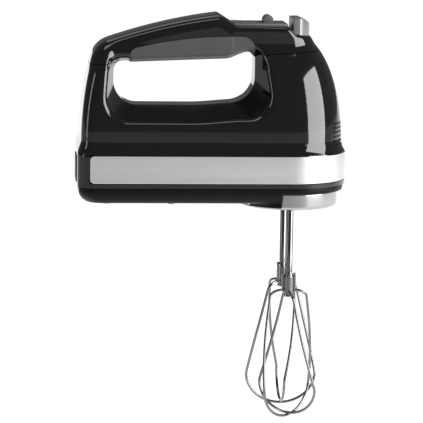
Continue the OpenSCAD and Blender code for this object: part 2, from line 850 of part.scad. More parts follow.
module worm() {
    n = worm_starts;
    root = worm_r - 1.2;
    tip = worm_r + 0.75;
    outline = [for (i = [0:n - 1], c = [[root, -90], [root, -68], [worm_r, -40], [tip, -20],
            [tip, 20], [worm_r, 40], [root, 68]])
        let (a = 360 / n * i + c[1] * 2 / n) [c[0] * cos(a), c[0] * sin(a)]];
    // half the turns are taken back so that a groove faces each wheel
    color("#a9abae") translate([0, 0, motor_z]) rotate([0, 90, 0]) difference() {
        rotate([0, 0, -180 * worm_length / worm_lead])
            linear_extrude(worm_length, center = true, twist = -360 * worm_length / worm_lead,
                slices = 56) polygon(outline);
        cylinder(r = shaft_radius, h = worm_length + 2, center = true);
    }
}

// ---- Motor ----

// Turns a part drawn along Z so that it lies along the motor's axis
module on_motor(x) {
    translate([x, 0, motor_z]) rotate([0, 90, 0]) children();
}

module motor_shaft() {
    color("#b5b7ba") on_motor(rear_bearing_x - bearing_length)
        cylinder(r = shaft_radius, h = worm_length / 2 - rear_bearing_x + bearing_length + 2);
}

slot_count = 10;
slot_depth = 5;

module armature_core() {
    color("#8a8c8f") on_motor(stack_rear) difference() {
        cylinder(r = armature_r, h = stack_length);
        translate([0, 0, -1]) cylinder(r = shaft_radius, h = stack_length + 2);
        for (i = [0:slot_count - 1]) rotate([0, 0, i * 360 / slot_count])
            translate([armature_r - slot_depth, -1.2, -1])
                cube([slot_depth + 2, 2.4, stack_length + 2]);
    }
}

module armature_windings() {
    color("#b46a3c") on_motor(stack_rear) {
        for (z = [-4, stack_length]) translate([0, 0, z]) difference() {
            cylinder(r = armature_r - 1.5, h = 4);
            translate([0, 0, -1]) cylinder(r = shaft_radius + 0.6, h = 6);
        }
        for (i = [0:slot_count - 1]) rotate([0, 0, i * 360 / slot_count])
            translate([armature_r - slot_depth + 0.1, -1.1, -0.5])
                cube([slot_depth - 1.8, 2.2, stack_length + 1]);
    }
}

module commutator() {
    color("#b87a48") on_motor(commutator_front - commutator_length) difference() {
        cylinder(r = commutator_r, h = commutator_length);
        translate([0, 0, -1]) cylinder(r = shaft_radius, h = commutator_length + 2);
        for (i = [0:9]) rotate([0, 0, 36 * i + 18]) translate([commutator_r - 0.7, -0.25, 2])
            cube([2, 0.5, commutator_length]);
    }
}

module cooling_fan() {
    color("#d7d2c2") on_motor(fan_x) difference() {
        union() {
            cylinder(r = shaft_radius + 3, h = fan_length);
            cylinder(r = stator_radius - 4, h = 1.4);
            for (i = [0:8]) rotate([0, 0, 40 * i]) translate([5, -0.7, 0.5])
                cube([stator_radius - 10, 1.4, fan_length - 0.5]);
        }
        translate([0, 0, -1]) cylinder(r = shaft_radius, h = fan_length + 2);
    }
}

pole_r = armature_r + 0.5;
yoke_r = stator_radius - 3.8;

// Region within a angle either side of +Y, along the motor
module pole_wedge(angle, z0, z1) {
    reach = 60;
    translate([0, 0, z0]) linear_extrude(z1 - z0)
        polygon([[0, 0], [-reach * sin(angle), reach * cos(angle)], [0, 1.5 * reach],
            [reach * sin(angle), reach * cos(angle)]]);
}

module ring(r_in, r_out, z0, z1) {
    translate([0, 0, z0]) difference() {
        cylinder(r = r_out, h = z1 - z0);
        translate([0, 0, -1]) cylinder(r = r_in, h = z1 - z0 + 2);
    }
}

module stator_core() {
    color("#7f8184") on_motor(stack_rear) {
        ring(yoke_r, stator_radius, 0, stack_length);
        for (turn = [0, 180]) rotate([0, 0, turn]) {
            intersection() {
                ring(pole_r, pole_r + 2, 0, stack_length);
                pole_wedge(52, -1, stack_length + 1);
            }
            intersection() {
                ring(pole_r + 1, yoke_r + 1, 0, stack_length);
                translate([-6, 0, -1]) cube([12, 40, stack_length + 2]);
            }
        }
    }
}

module field_coils() {
    color("#b46a3c") on_motor(stack_rear) for (turn = [0, 180]) rotate([0, 0, turn]) difference() {
        intersection() {
            ring(pole_r + 2.3, yoke_r - 0.3, -4, stack_length + 4);
            pole_wedge(48, -5, stack_length + 5);
        }
        translate([-6.3, 0, -0.3]) cube([12.6, 40, stack_length + 0.6]);
    }
}

module motor_front_bracket() {
    color("#8d8f91") on_motor(front_bearing_x) difference() {
        union() {
            cylinder(r = bearing_r + 3, h = bearing_length);
            translate([0, 0, bearing_length - 2.5])
                cylinder(r = stator_radius - 1, h = gearbox_rear - front_bearing_x - bearing_length + 2.5);
        }
        translate([0, 0, -1]) cylinder(r = bearing_r, h = bearing_length + 1);
        translate([0, 0, bearing_length - 1]) cylinder(r = 9.5, h = 20);
        for (i = [0:3]) rotate([0, 0, 45 + 90 * i]) translate([17, 0, -1]) cylinder(r = 4, h = 30);
    }
}

module motor_rear_bracket() {
    color("#3a3a3e") on_motor(rear_bearing_x - bearing_length) difference() {
        union() {
            cylinder(r = bearing_r + 2.5, h = bearing_length);
            for (side = [-1, 1]) translate([side * (stator_radius - 5) - 2, -9, 0])
                cube([4, 18, stack_rear - 5 - rear_bearing_x + bearing_length]);
            translate([-stator_radius + 3, -9, 0]) cube([2 * stator_radius - 6, 18, 3]);
        }
        translate([0, 0, -1]) cylinder(r = bearing_r, h = bearing_length + 2);
    }
}

module motor_bearings() {
    color("silver") for (x = [rear_bearing_x - bearing_length, front_bearing_x])
        on_motor(x) difference() {
            cylinder(r = bearing_r, h = bearing_length - 1);
            translate([0, 0, -1]) cylinder(r = shaft_radius + run_gap, h = bearing_length + 2);
        }
}

brush_width = 5;
brush_x = commutator_front - commutator_length + 3.5;
brush_inner = commutator_r + 0.05;
brush_length = 7;

// The brushes bear on the commutator from both sides
module both_sides() {
    for (side = [-1, 1]) translate([brush_x, 0, motor_z]) scale_side(side) children();
}

module scale_side(side) {
    rotate([0, 0, side > 0 ? 0 : 180]) translate([side > 0 ? 0 : -brush_width, 0, 0]) children();
}

module brushes() {
    color("#303236") both_sides()
        translate([0, brush_inner, -brush_width / 2]) cube([brush_width, brush_length, brush_width]);
}

module brush_holders() {
    color("#c9a45c") both_sides() difference() {
        translate([-1, commutator_r + 1.5, -brush_width / 2 - 1])
            cube([brush_width + 2, 16, brush_width + 2]);
        translate([-0.05, 0, -brush_width / 2 - 0.05])
            cube([brush_width + 0.1, commutator_r + 1.5 + 15, brush_width + 0.1]);
    }
}

module brush_springs() {
    color("silver") both_sides() translate([brush_width / 2, brush_inner + brush_length, 0])
        rotate([-90, 0, 0]) cylinder(r = 1.6,
            h = commutator_r + 1.5 + 15 - brush_inner - brush_length);
}

// ---- Rear ----

module swivel_post() {
    translate([swivel_x, swivel_y, -1]) cylinder(r = swivel_r + wall, h = 40);
}

// A point on the outlet's outer edge at one end of its swing, at a distance from the pivot
function swing_point(side, reach) = let (a = side * swivel_swing, w = -side * outlet_room)
    [w * cos(a) - reach * sin(a), w * sin(a) + reach * cos(a)];

// Pocket for the turning cord outlet, open to the side
module swivel_cut() {
    translate([swivel_x, swivel_y, outlet_z - 5.5]) {
        cylinder(r = swivel_r + fit_gap, h = 12);
        linear_extrude(12) polygon([swing_point(1, 0), swing_point(1, swivel_reach),
            swing_point(-1, swivel_reach), swing_point(-1, 0)]);
    }
}

module cord_swivel() {
    color("#17171a") translate([swivel_x, swivel_y, outlet_z]) difference() {
        union() {
            translate([0, 0, -5.2]) cylinder(r = swivel_r, h = 11.4);
            rotate([-90, 0, 0]) cylinder(r = outlet_bore + outlet_wall, h = 22);
        }
        rotate([-90, 0, 0]) cylinder(r = outlet_bore, h = 30);
    }
}

module heel_pad() {
    color("#2b2b2d") translate([rear_x - 0.6, -13.8, 14.2]) cube([1.6, 27.6, 19.6]);
}

// ---- Beaters ----

module beater_shaft(s) {
    color("#d5d7da") translate([0, s * beater_spacing / 2, beater_collar_foot + 0.5])
        cylinder(r = beater_shaft_radius, h = beater_top - beater_collar_foot - 0.5);
}

module beater_collar(s) {
    r = beater_collar_radius;
    color("#c3c5c8") translate([0, s * beater_spacing / 2, 0]) rotate_extrude() polygon([
        [beater_shaft_radius, beater_collar_foot], [r - 0.6, beater_collar_foot],
        [r, beater_collar_foot + 0.6], [r, beater_collar_top - 1.6],
        [r - 1.6, beater_collar_top], [beater_shaft_radius, beater_collar_top]]);
}

// Radius and height of the wire at u: 0 at the collar, 1 at the widest point, 2 at the foot
function cage_point(u, foot) =
    u <= 0.3 ? let (s = u / 0.3)
        [beater_collar_radius - 0.1 + (shoulder_radius - 0.7 - beater_collar_radius) * sin(90 * s),
            stub_z + 0.5 - 6 * (1 - cos(90 * s))] :
    u <= 1 ? let (s = (u - 0.3) / 0.7)
        [shoulder_radius - 0.8 + (cage_radius - shoulder_radius + 0.8) * s,
            stub_z - 5.5 - (stub_z - 5.5 - widest_z) * s] :
    [cage_radius * cos(90 * (u - 1)), widest_z - (widest_z - foot) * sin(90 * (u - 1))];

// The two cages twist opposite ways, so that they pass through each other
function cage_turn(u, s) = -s * cage_twist * min(1, max(0, u - 0.1) / 0.9);

// One wire loop: down one side, through the axis, and up the other
module beater_loop(s, start, lift) {
    foot = cage_foot + lift + wire_radius;
    down = [for (i = [0:27]) i < 18 ? i / 18 : 1 + (i - 18) / 10];
    side = function (u, turn) let (p = cage_point(u, foot), a = start + turn + cage_turn(u, s))
        [p[0] * cos(a), p[0] * sin(a), p[1]];
    points = concat([for (u = down) side(u, 0)], [side(2, 0)],
        [for (i = [27:-1:0]) side(down[i], 180)]);
    color("#d5d7da") translate([0, s * beater_spacing / 2, 0]) swept_tube(points, wire_radius, 8);
}

near_start = 45 - cage_twist;
far_start = cage_twist;
loop_gap = 2 * wire_radius + 0.1;

module beater_shaft_left() { beater_shaft(1); }
module beater_collar_left() { beater_collar(1); }
module beater_loop_a_left() { beater_loop(1, far_start, 0); }
module beater_loop_b_left() { beater_loop(1, far_start + 90, loop_gap); }
module beater_shaft_right() { beater_shaft(-1); }
module beater_collar_right() { beater_collar(-1); }
module beater_loop_a_right() { beater_loop(-1, near_start, 0); }
module beater_loop_b_right() { beater_loop(-1, near_start + 90, loop_gap); }

// Moves the mixer so that the middle of the grip is the origin
module placed() {
    translate([-grip_x, 0, -grip_z]) children();
}

placed() main_housing();
placed() handle_cover();
placed() lower_housing();
placed() trim_band();
placed() nose_collar();
placed() handle_carrier();
placed() soft_grip();
placed() control_panel();
placed() speed_window();
placed() speed_up_button();
placed() speed_down_button();
placed() power_switch_knob();
placed() power_switch_body();
placed() circuit_board();
placed() eject_button();
placed() eject_yoke();
placed() eject_spring();
placed() push_pin_left();
placed() push_pin_right();
placed() gearbox_housing();
placed() gearbox_cover();
placed() spindle_bushes();
placed() spindle_left();
placed() spindle_right();
placed() worm_wheel_left();
placed() worm_wheel_right();
placed() motor_shaft();
placed() worm();
placed() armature_core();
placed() armature_windings();
placed() commutator();
placed() cooling_fan();
placed() stator_core();
placed() field_coils();
placed() motor_front_bracket();
placed() motor_rear_bracket();
placed() motor_bearings();
placed() brushes();
placed() brush_holders();
placed() brush_springs();
placed() cord_swivel();
placed() heel_pad();
placed() housing_screws();
placed() gearbox_screws();
placed() beater_shaft_left();
placed() beater_collar_left();
placed() beater_loop_a_left();
placed() beater_loop_b_left();
placed() beater_shaft_right();
placed() beater_collar_right();
placed() beater_loop_a_right();
placed() beater_loop_b_right();
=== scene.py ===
"""Looks for the hand mixer: moulded shells, brushed band, chromed beaters and studio light."""
import json
import math

import bmesh
import bpy
import numpy as np
from mathutils import Matrix, Vector


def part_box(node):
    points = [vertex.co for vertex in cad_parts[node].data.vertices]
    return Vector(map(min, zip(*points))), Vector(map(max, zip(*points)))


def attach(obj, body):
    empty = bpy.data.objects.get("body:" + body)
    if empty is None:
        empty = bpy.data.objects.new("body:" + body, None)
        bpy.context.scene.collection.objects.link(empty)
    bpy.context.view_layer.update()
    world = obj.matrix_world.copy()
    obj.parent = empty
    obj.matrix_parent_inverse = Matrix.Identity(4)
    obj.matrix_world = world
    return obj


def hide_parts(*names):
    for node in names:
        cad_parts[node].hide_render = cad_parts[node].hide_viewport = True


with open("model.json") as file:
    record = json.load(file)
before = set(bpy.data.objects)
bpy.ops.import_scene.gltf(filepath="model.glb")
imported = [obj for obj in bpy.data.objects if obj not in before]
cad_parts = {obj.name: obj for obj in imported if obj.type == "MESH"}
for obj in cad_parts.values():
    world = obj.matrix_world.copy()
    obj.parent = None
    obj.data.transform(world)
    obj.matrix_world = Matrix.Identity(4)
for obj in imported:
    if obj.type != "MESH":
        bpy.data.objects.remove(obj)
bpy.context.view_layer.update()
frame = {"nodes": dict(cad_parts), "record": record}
BODY_OF = {n: b for b, names in frame["record"]["behaviour"]["bodies"].items() for n in names}
SLOT_OF = {s["node"]: s["material_slot"] for s in frame["record"]["subparts"]}

MM = 0.001

# ---- Places, in millimetres from the beater axes (X), the mid-plane (Y) and the underside (Z)
collar_lo, collar_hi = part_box("nose_collar")
base_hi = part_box("lower_housing")[1]
BASE_HEIGHT = 11.7    # from the underside to the lower housing's top
ORIGIN = Vector(((collar_lo.x + collar_hi.x) / 2, 0, base_hi.z - BASE_HEIGHT * MM))
shell_lo, shell_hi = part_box("main_housing")
cover_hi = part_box("handle_cover")[1]
band_lo, band_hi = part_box("trim_band")
HALF = shell_hi.y / MM
REAR = (shell_lo.x - ORIGIN.x) / MM
PEAK = (cover_hi.z - ORIGIN.z) / MM
BAND_LOW = (band_lo.z - ORIGIN.z) / MM
BAND_TOP = (band_hi.z - ORIGIN.z) / MM
BAND_REAR = (band_lo.x - ORIGIN.x) / MM
BEATER_Y = (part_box("beater_collar_left")[0].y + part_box("beater_collar_left")[1].y) / 2 / MM


def place(points):
    """Points in the millimetre layout, as metres in the row frame."""
    return np.asarray(points, float) * MM + np.array(ORIGIN)


# ---- Materials

def material(name, **inputs):
    """A new material and its Principled shader, with these inputs set."""
    mat = bpy.data.materials.new(name)
    mat.use_nodes = True
    shader = mat.node_tree.nodes["Principled BSDF"]
    for key, value in inputs.items():
        shader.inputs[key.replace("_", " ")].default_value = value
    return mat, shader


def node(mat, kind, **settings):
    made = mat.node_tree.nodes.new(kind)
    for key, value in settings.items():
        if key in made.inputs:
            made.inputs[key].default_value = value
        else:
            setattr(made, key, value)
    return made


def link(mat, a, b):
    mat.node_tree.links.new(a, b)


def coordinates(mat, scale=(1, 1, 1), source="Object"):
    """Object (or UV) coordinates, stretched."""
    tex = node(mat, "ShaderNodeTexCoord")
    mapping = node(mat, "ShaderNodeMapping")
    mapping.inputs["Scale"].default_value = scale
    link(mat, tex.outputs[source], mapping.inputs["Vector"])
    return mapping.outputs["Vector"]


def noise(mat, vector, scale, detail=4.0, rough=0.55):
    made = node(mat, "ShaderNodeTexNoise", Scale=scale, Detail=detail, Roughness=rough)
    link(mat, vector, made.inputs["Vector"])
    return made.outputs["Fac"]


def ramp(mat, value, low, high, start=0.0, end=1.0):
    """Maps a 0 to 1 value between start and end onto low to high."""
    made = node(mat, "ShaderNodeMapRange")
    for key, number in (("From Min", start), ("From Max", end), ("To Min", low), ("To Max", high)):
        made.inputs[key].default_value = number
    link(mat, value, made.inputs["Value"])
    return made.outputs["Result"]


def sums(mat, operation, *values):
    """One arithmetic node on numbers or sockets."""
    made = node(mat, "ShaderNodeMath", operation=operation)
    for i, value in enumerate(values):
        if isinstance(value, float):
            made.inputs[i].default_value = value
        else:
            link(mat, value, made.inputs[i])
    return made.outputs[0]


def mix_colour(mat, factor, a, b):
    made = node(mat, "ShaderNodeMix", data_type="RGBA")
    made.inputs[6].default_value = (*a, 1)
    made.inputs[7].default_value = (*b, 1)
    link(mat, factor, made.inputs[0])
    return made.outputs[2]


def bump(mat, shader, height, strength, distance):
    made = node(mat, "ShaderNodeBump", Strength=strength, Distance=distance)
    link(mat, height, made.inputs["Height"])
    link(mat, made.outputs["Normal"], shader.inputs["Normal"])
    return made


def gloss_black():
    mat, shader = material("gloss_black", Specular_IOR_Level=0.5, Coat_Weight=0.5,
                           Coat_Roughness=0.03)
    where = coordinates(mat)
    haze = noise(mat, where, 34, 5)
    fine = noise(mat, where, 900, 3)
    colour = mix_colour(mat, haze, (0.0048, 0.0048, 0.0054), (0.0075, 0.0075, 0.0082))
    link(mat, colour, shader.inputs["Base Color"])
    link(mat, ramp(mat, haze, 0.055, 0.10, 0.3, 0.7), shader.inputs["Roughness"])
    bump(mat, shader, fine, 0.012, 0.0002)
    return mat


def satin_black(name="satin_black", grain=1500, tone=0.012, shine=0.45):
    mat, shader = material(name, Specular_IOR_Level=shine)
    where = coordinates(mat)
    fine = noise(mat, where, grain, 2)
    broad = noise(mat, where, 25, 4)
    colour = mix_colour(mat, broad, (tone * 0.8,) * 3, (tone * 1.25,) * 3)
    link(mat, colour, shader.inputs["Base Color"])
    link(mat, ramp(mat, broad, 0.30, 0.42, 0.3, 0.7), shader.inputs["Roughness"])
    bump(mat, shader, fine, 0.12, 0.0002)
    return mat


def soft_rubber():
    mat, shader = material("grip_rubber", Specular_IOR_Level=0.4, Sheen_Weight=0.25,
                           Sheen_Roughness=0.5)
    where = coordinates(mat)
    pores = noise(mat, where, 2600, 3)
    broad = noise(mat, where, 40, 4)
    colour = mix_colour(mat, broad, (0.062, 0.063, 0.065), (0.085, 0.086, 0.089))
    link(mat, colour, shader.inputs["Base Color"])
    link(mat, ramp(mat, broad, 0.50, 0.62, 0.3, 0.7), shader.inputs["Roughness"])
    bump(mat, shader, pores, 0.25, 0.0003)
    return mat


def brushed_steel():
    """Fine lines run along U, so the steel is grained the way the band is rolled."""
    mat, shader = material("brushed_band", Metallic=1.0, Anisotropic=0.75)
    lines = noise(mat, coordinates(mat, (2.5, 900, 1), "UV"), 1.0, 6, 0.7)
    broad = noise(mat, coordinates(mat, (1.2, 60, 1), "UV"), 1.0, 3)
    colour = mix_colour(mat, lines, (0.60, 0.60, 0.605), (0.76, 0.76, 0.765))
    link(mat, colour, shader.inputs["Base Color"])
    link(mat, ramp(mat, broad, 0.30, 0.42, 0.3, 0.7), shader.inputs["Roughness"])
    bump(mat, shader, lines, 0.10, 0.0001)
    return mat


def bright_metal(name, colour, rough, metal=1.0, scratches=260):
    mat, shader = material(name, Metallic=metal)
    where = coordinates(mat)
    wipe = noise(mat, coordinates(mat, (1, 1, 9)), scratches, 4)
    broad = noise(mat, where, 30, 3)
    link(mat, mix_colour(mat, broad, tuple(c * 0.93 for c in colour), colour),
         shader.inputs["Base Color"])
    link(mat, ramp(mat, wipe, rough * 0.7, rough * 1.5, 0.3, 0.75), shader.inputs["Roughness"])
    bump(mat, shader, wipe, 0.02, 0.0001)
    return mat


def painted(name, colour, rough, flake=0.0, metal=0.0):
    """Moulded or painted plastic, with fine flake where it is metallic."""
    mat, shader = material(name, Metallic=metal, Specular_IOR_Level=0.5)
    where = coordinates(mat)
    grain = noise(mat, where, 2200, 2)
    broad = noise(mat, where, 45, 3)
    link(mat, mix_colour(mat, grain if flake else broad, tuple(c * (0.9 - flake) for c in colour),
                         tuple(min(1, c * (1.08 + flake)) for c in colour)),
         shader.inputs["Base Color"])
    link(mat, ramp(mat, broad, rough * 0.85, rough * 1.15, 0.3, 0.7), shader.inputs["Roughness"])
    bump(mat, shader, grain, 0.06, 0.0001)
    return mat


# ---- Meshes

def new_piece(name, vertices, faces, mat, body, replaces):
    """A mesh piece that rides on a body and stands for CAD nodes."""
    mesh = bpy.data.meshes.new(name)
    mesh.from_pydata([tuple(v) for v in place(vertices)], [], faces)
    mesh.validate()
    mesh.shade_smooth()
    made = bpy.data.objects.new(name, mesh)
    bpy.context.scene.collection.objects.link(made)
    made.data.materials.append(mat)
    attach(made, body)
    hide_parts(*replaces)
    return made


def settle(piece, sharp=35):
    """Applies the piece's modifiers and marks its sharp edges."""
    graph = bpy.context.evaluated_depsgraph_get()
    mesh = bpy.data.meshes.new_from_object(piece.evaluated_get(graph))
    piece.modifiers.clear()
    piece.data = mesh
    mesh.shade_smooth()
    mesh.set_sharp_from_angle(angle=math.radians(sharp))
    return piece


def lathe(outline, steps=96, centre=(0, 0)):
    """A closed outline of (radius, z) turned about a vertical axis."""
    count = len(outline)
    vertices = [(centre[0] + r * math.cos(a), centre[1] + r * math.sin(a), z)
                for a in (2 * math.pi * i / steps for i in range(steps)) for r, z in outline]
    faces = [(i * count + j, ((i + 1) % steps) * count + j,
              ((i + 1) % steps) * count + (j + 1) % count, i * count + (j + 1) % count)
             for i in range(steps) for j in range(count)]
    return vertices, faces


def arc(cx, cy, r, start, end, n):
    return [(cx + r * math.cos(math.radians(start + (end - start) * i / n)),
             cy + r * math.sin(math.radians(start + (end - start) * i / n))) for i in range(n + 1)]


def tube(path, radius, sides=14):
    """A round closed tube along a path of points."""
    path = np.asarray(path, float)
    along = np.gradient(path, axis=0)
    along /= np.linalg.norm(along, axis=1)[:, None]
    side = np.cross(along[0], (0, 0, 1.0) if abs(along[0][2]) < 0.9 else (1.0, 0, 0))
    side /= np.linalg.norm(side)
    vertices = []
    for point, way in zip(path, along):
        side = side - way * (side @ way)
        side /= np.linalg.norm(side)
        other = np.cross(way, side)
        for k in range(sides):
            a = 2 * math.pi * k / sides
            vertices.append(point + radius * (math.cos(a) * side + math.sin(a) * other))
    faces = [(i * sides + k, i * sides + (k + 1) % sides, (i + 1) * sides + (k + 1) % sides,
              (i + 1) * sides + k) for i in range(len(path) - 1) for k in range(sides)]
    last = (len(path) - 1) * sides
    faces += [tuple(range(sides - 1, -1, -1)), tuple(last + k for k in range(sides))]
    return vertices, faces


def refine(name, mat, bevel=0.4, segments=3):
    """A copy of a CAD node with clean faces and rounded edges."""
    source = frame["nodes"][name]
    mesh = source.data.copy()
    piece = bpy.data.objects.new("fine_" + name, mesh)
    bpy.context.scene.collection.objects.link(piece)
    work = bmesh.new()
    work.from_mesh(mesh)
    bmesh.ops.remove_doubles(work, verts=work.verts, dist=1e-6)
    bmesh.ops.dissolve_limit(work, angle_limit=math.radians(4), verts=work.verts, edges=work.edges)
    work.to_mesh(mesh)
    work.free()
    mesh.materials.clear()
    mesh.materials.append(mat)
    rounding = piece.modifiers.new("rounding", "BEVEL")
    rounding.width = bevel * MM
    rounding.segments = segments
    rounding.limit_method = "ANGLE"
    rounding.angle_limit = math.radians(30)
    rounding.harden_normals = False
    settle(piece, 30)
    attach(piece, BODY_OF[name])
    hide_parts(name)
    return piece


# ---- Smooth solids as fields: negative inside, in millimetres

def round_max(a, b, r):
    """Where both a and b are negative, with the edge between them rounded to radius r."""
    return (np.minimum(np.maximum(a, b), -r)
            + np.hypot(np.maximum(a + r, 0), np.maximum(b + r, 0)))


def round_min(a, b, r):
    return -round_max(-a, -b, r)


def smooth(x, start, end):
    t = np.clip((x - start) / (end - start), 0, 1)
    return t * t * (3 - 2 * t)


def net(field, low, high, step):
    """The zero surface of a field as quads: one vertex per crossed cell, moved onto the surface."""
    axes = [np.arange(a, b + step, step) for a, b in zip(low, high)]
    x, y, z = np.meshgrid(*axes, indexing="ij")
    value = field(x, y, z)
    inside = value < 0
    shape = tuple(n - 1 for n in value.shape)
    corner = [(i, j, k) for i in (0, 1) for j in (0, 1) for k in (0, 1)]
    total = np.zeros(shape, int)
    for i, j, k in corner:
        total += inside[i:shape[0] + i, j:shape[1] + j, k:shape[2] + k]
    crossed = (total > 0) & (total < 8)
    index = -np.ones(shape, int)
    index[crossed] = np.arange(crossed.sum())
    cell = np.argwhere(crossed)
    spot = np.zeros((len(cell), 3))
    weight = np.zeros(len(cell))
    for a in corner:
        for axis in range(3):
            if a[axis]:
                continue
            b = list(a)
            b[axis] = 1
            va = value[tuple((cell + a).T)]
            vb = value[tuple((cell + b).T)]
            hit = (va < 0) != (vb < 0)
            t = np.where(hit, va / np.where(hit, va - vb, 1), 0)
            where = cell + np.array(a, float)
            where[:, axis] += t
            spot += where * hit[:, None]
            weight += hit
    points = np.array([a[0] for a in axes]) + spot / weight[:, None] * step
    faces = []
    for axis in range(3):
        u, v = [a for a in range(3) if a != axis]
        n = list(value.shape)
        cut = [slice(None)] * 3
        cut[axis], cut[u], cut[v] = slice(0, n[axis] - 1), slice(1, n[u] - 1), slice(1, n[v] - 1)
        nxt = list(cut)
        nxt[axis] = slice(1, n[axis])
        here, there = inside[tuple(cut)], inside[tuple(nxt)]
        for flip in (False, True):
            at = np.argwhere((here & ~there) if not flip else (~here & there))
            at[:, u] += 1
            at[:, v] += 1
            ring = []
            for du, dv in ((0, 0), (-1, 0), (-1, -1), (0, -1)):
                c = at.copy()
                c[:, u] += du
                c[:, v] += dv
                ring.append(index[tuple(c.T)])
            quad = np.stack(ring, 1)
            turned = flip != (axis == 1)
            faces.append(quad[:, ::-1] if turned else quad)
    for _ in range(4):
        points = onto(field, points, step)
    return points, np.concatenate(faces)


def gradient(field, p, h=0.15):
    out = np.empty_like(p)
    for axis in range(3):
        d = np.zeros(3)
        d[axis] = h
        out[:, axis] = field(*(p + d).T) - field(*(p - d).T)
    return out / (2 * h)


def onto(field, p, limit):
    slope = gradient(field, p)
    move = (field(*p.T) / np.maximum((slope ** 2).sum(1), 0.2))[:, None] * slope
    size = np.linalg.norm(move, axis=1)[:, None]
    return p - move * np.minimum(1, 0.5 * limit / np.maximum(size, 1e-9))


# ---- The body's outer form

WAIST = HALF - 3.4
FLARE = 12
ELLIPSE_BASE = 45
DECK = PEAK - 7.7
ELLIPSE_RISE = PEAK - 13.6 - ELLIPSE_BASE
GRIP_HALF = 21.5
PEAK_X = -56
OPEN_RIGHT = -27.7
OPEN_LEFT = -133.0
OPEN_FLOOR = 71.0
OPEN_TOP = 103.3
RIM = {"floor": 10.5, "nose": 12.7, "rear": 7.0}
NOTCH = 4.6
SEAM_SLOPE = 0.0616
GRIP_LEFT = OPEN_LEFT + 11.5


def half_width(z):
    """Half-width of the body against height: band, concave flare, then a quarter ellipse."""
    t = np.clip((z - BAND_TOP) / FLARE, 0, 1)
    flare = WAIST + (HALF - WAIST) * (1 - t) ** 2.2
    above = WAIST * np.sqrt(np.clip(1 - ((z - ELLIPSE_BASE) / ELLIPSE_RISE) ** 2, 0.02, 1))
    return np.where(z < ELLIPSE_BASE, flare, np.minimum(flare, above))


def rear_face(z):
    up = np.maximum(z - 46, 0)
    return REAR + 2.6 * smooth(z, BAND_TOP, 47) + 0.0022 * up ** 2


def crown(x):
    """Height of the handle's top along the mixer, then the slope down to the level deck."""
    d = x - PEAK_X
    bow = PEAK + 0.1311 * np.minimum(d, 0) - np.minimum(d, 0) ** 2 / 750
    slope = bow - 0.62 * np.maximum(d - 1, 0)
    front = np.maximum(DECK - 0.9 * (x + 4.5), DECK - 6.3 - 0.17 * (x - 2.3))
    level = np.where(x > -4.5, front, DECK)
    level = np.maximum(level, DECK - 9)
    return np.where(d > 0, np.maximum(slope, level), bow)


def opening(x, y, z):
    """The finger opening: it widens to each side, and above its top the handle's flanks begin."""
    y = np.abs(y)
    t = np.clip((y - 12) / 26, 0, 1.4)
    left, right = OPEN_LEFT - RIM["rear"] * t, OPEN_RIGHT + RIM["nose"] * t
    across = np.maximum(left - x, x - right)
    floor = OPEN_FLOOR - RIM["floor"] * t + 2.4 * smooth(x, -75, -35)
    hang = 1.1 * smooth(x, GRIP_LEFT + 2, GRIP_LEFT - 2) - 0.6
    top = OPEN_TOP + hang + 0.042 * (x - GRIP_LEFT) + NOTCH * smooth(x, -50, -33) + 10 * t
    low = round_max(across, floor - z, 18)
    through = round_max(low, z - top, 6.5)
    flank = round_max(across, GRIP_HALF - y, 4)
    flank = np.maximum(flank, OPEN_TOP - 3 - z)
    return round_min(through, flank, 2.0)


def body_field(x, y, z):
    reach = np.where(x > 0, np.hypot(np.maximum(x, 0), y), np.abs(y))
    side = reach - half_width(z)
    hull = round_max(side, rear_face(z) - x, 11)
    nose = np.hypot(np.maximum(x + 4.6, 0), y) - 20.8
    flank = np.abs(y) - GRIP_HALF
    bar = np.where(x > -45, np.maximum(nose, flank), flank)
    bar = round_max(np.maximum(bar, 96 - z), rear_face(z) + 1 - x, 6)
    upper = round_min(hull, bar, 3.0)
    solid = np.where(z > 96, upper, hull)
    cap = z - crown(x) + 0.002 * y ** 2
    solid = round_max(solid, cap, np.where(x < -45, 9.0, 4.0))
    return round_max(solid, -opening(x, y, z), 3.0)


# ---- Shells cut from the body's form

GAP = 0.22            # half the width of a joint line between two shells
BAND_GAP = 0.3        # clear room round the band's cut-out
SHELL_FOOT = 12.2     # where the housing shell ends above the base
SEAM_X, SEAM_Z = 25, 112.4
GRIP_ENDS = (GRIP_LEFT, OPEN_RIGHT - 0.6)
GRIP_CREST_X = OPEN_RIGHT - 15.3
GRIP_CREST = OPEN_TOP + 19.6
ROUND_START, ROUND_END = 5, 9     # corner radii at the grip's two ends


def seam(x):
    """Height of the joint line between the housing and the handle cover."""
    return SEAM_Z + SEAM_SLOPE * (x - SEAM_X)


def grip_edge(x):
    """Height of the soft grip's upper edge: a shallow arch with a round corner at each end."""
    arch = GRIP_CREST - (x - GRIP_CREST_X) ** 2 / 633
    start = np.clip(GRIP_ENDS[0] + ROUND_START - x, 0, ROUND_START)
    end = np.clip(x - GRIP_ENDS[1] + ROUND_END, 0, ROUND_END)
    return (arch - (ROUND_START - np.sqrt(ROUND_START ** 2 - start ** 2))
            - (ROUND_END - np.sqrt(ROUND_END ** 2 - end ** 2)))


def skin_mesh(field, low, high, step):
    """The field's surface as a bmesh."""
    points, faces = net(field, low, high, step)
    work = bmesh.new()
    vertices = [work.verts.new(p) for p in points]
    for face in faces:
        try:
            work.faces.new([vertices[i] for i in face])
        except ValueError:
            pass
    work.normal_update()
    return work


def slice_at(work, point, normal, chosen=None):
    """Cuts faces along a plane, leaving both sides."""
    faces = [f for f in work.faces if chosen is None or chosen(f.calc_center_median())]
    edges = {e for f in faces for e in f.edges}
    vertices = {v for f in faces for v in f.verts}
    bmesh.ops.bisect_plane(work, geom=list(vertices) + list(edges) + faces, dist=1e-5,
                           plane_co=point, plane_no=normal)


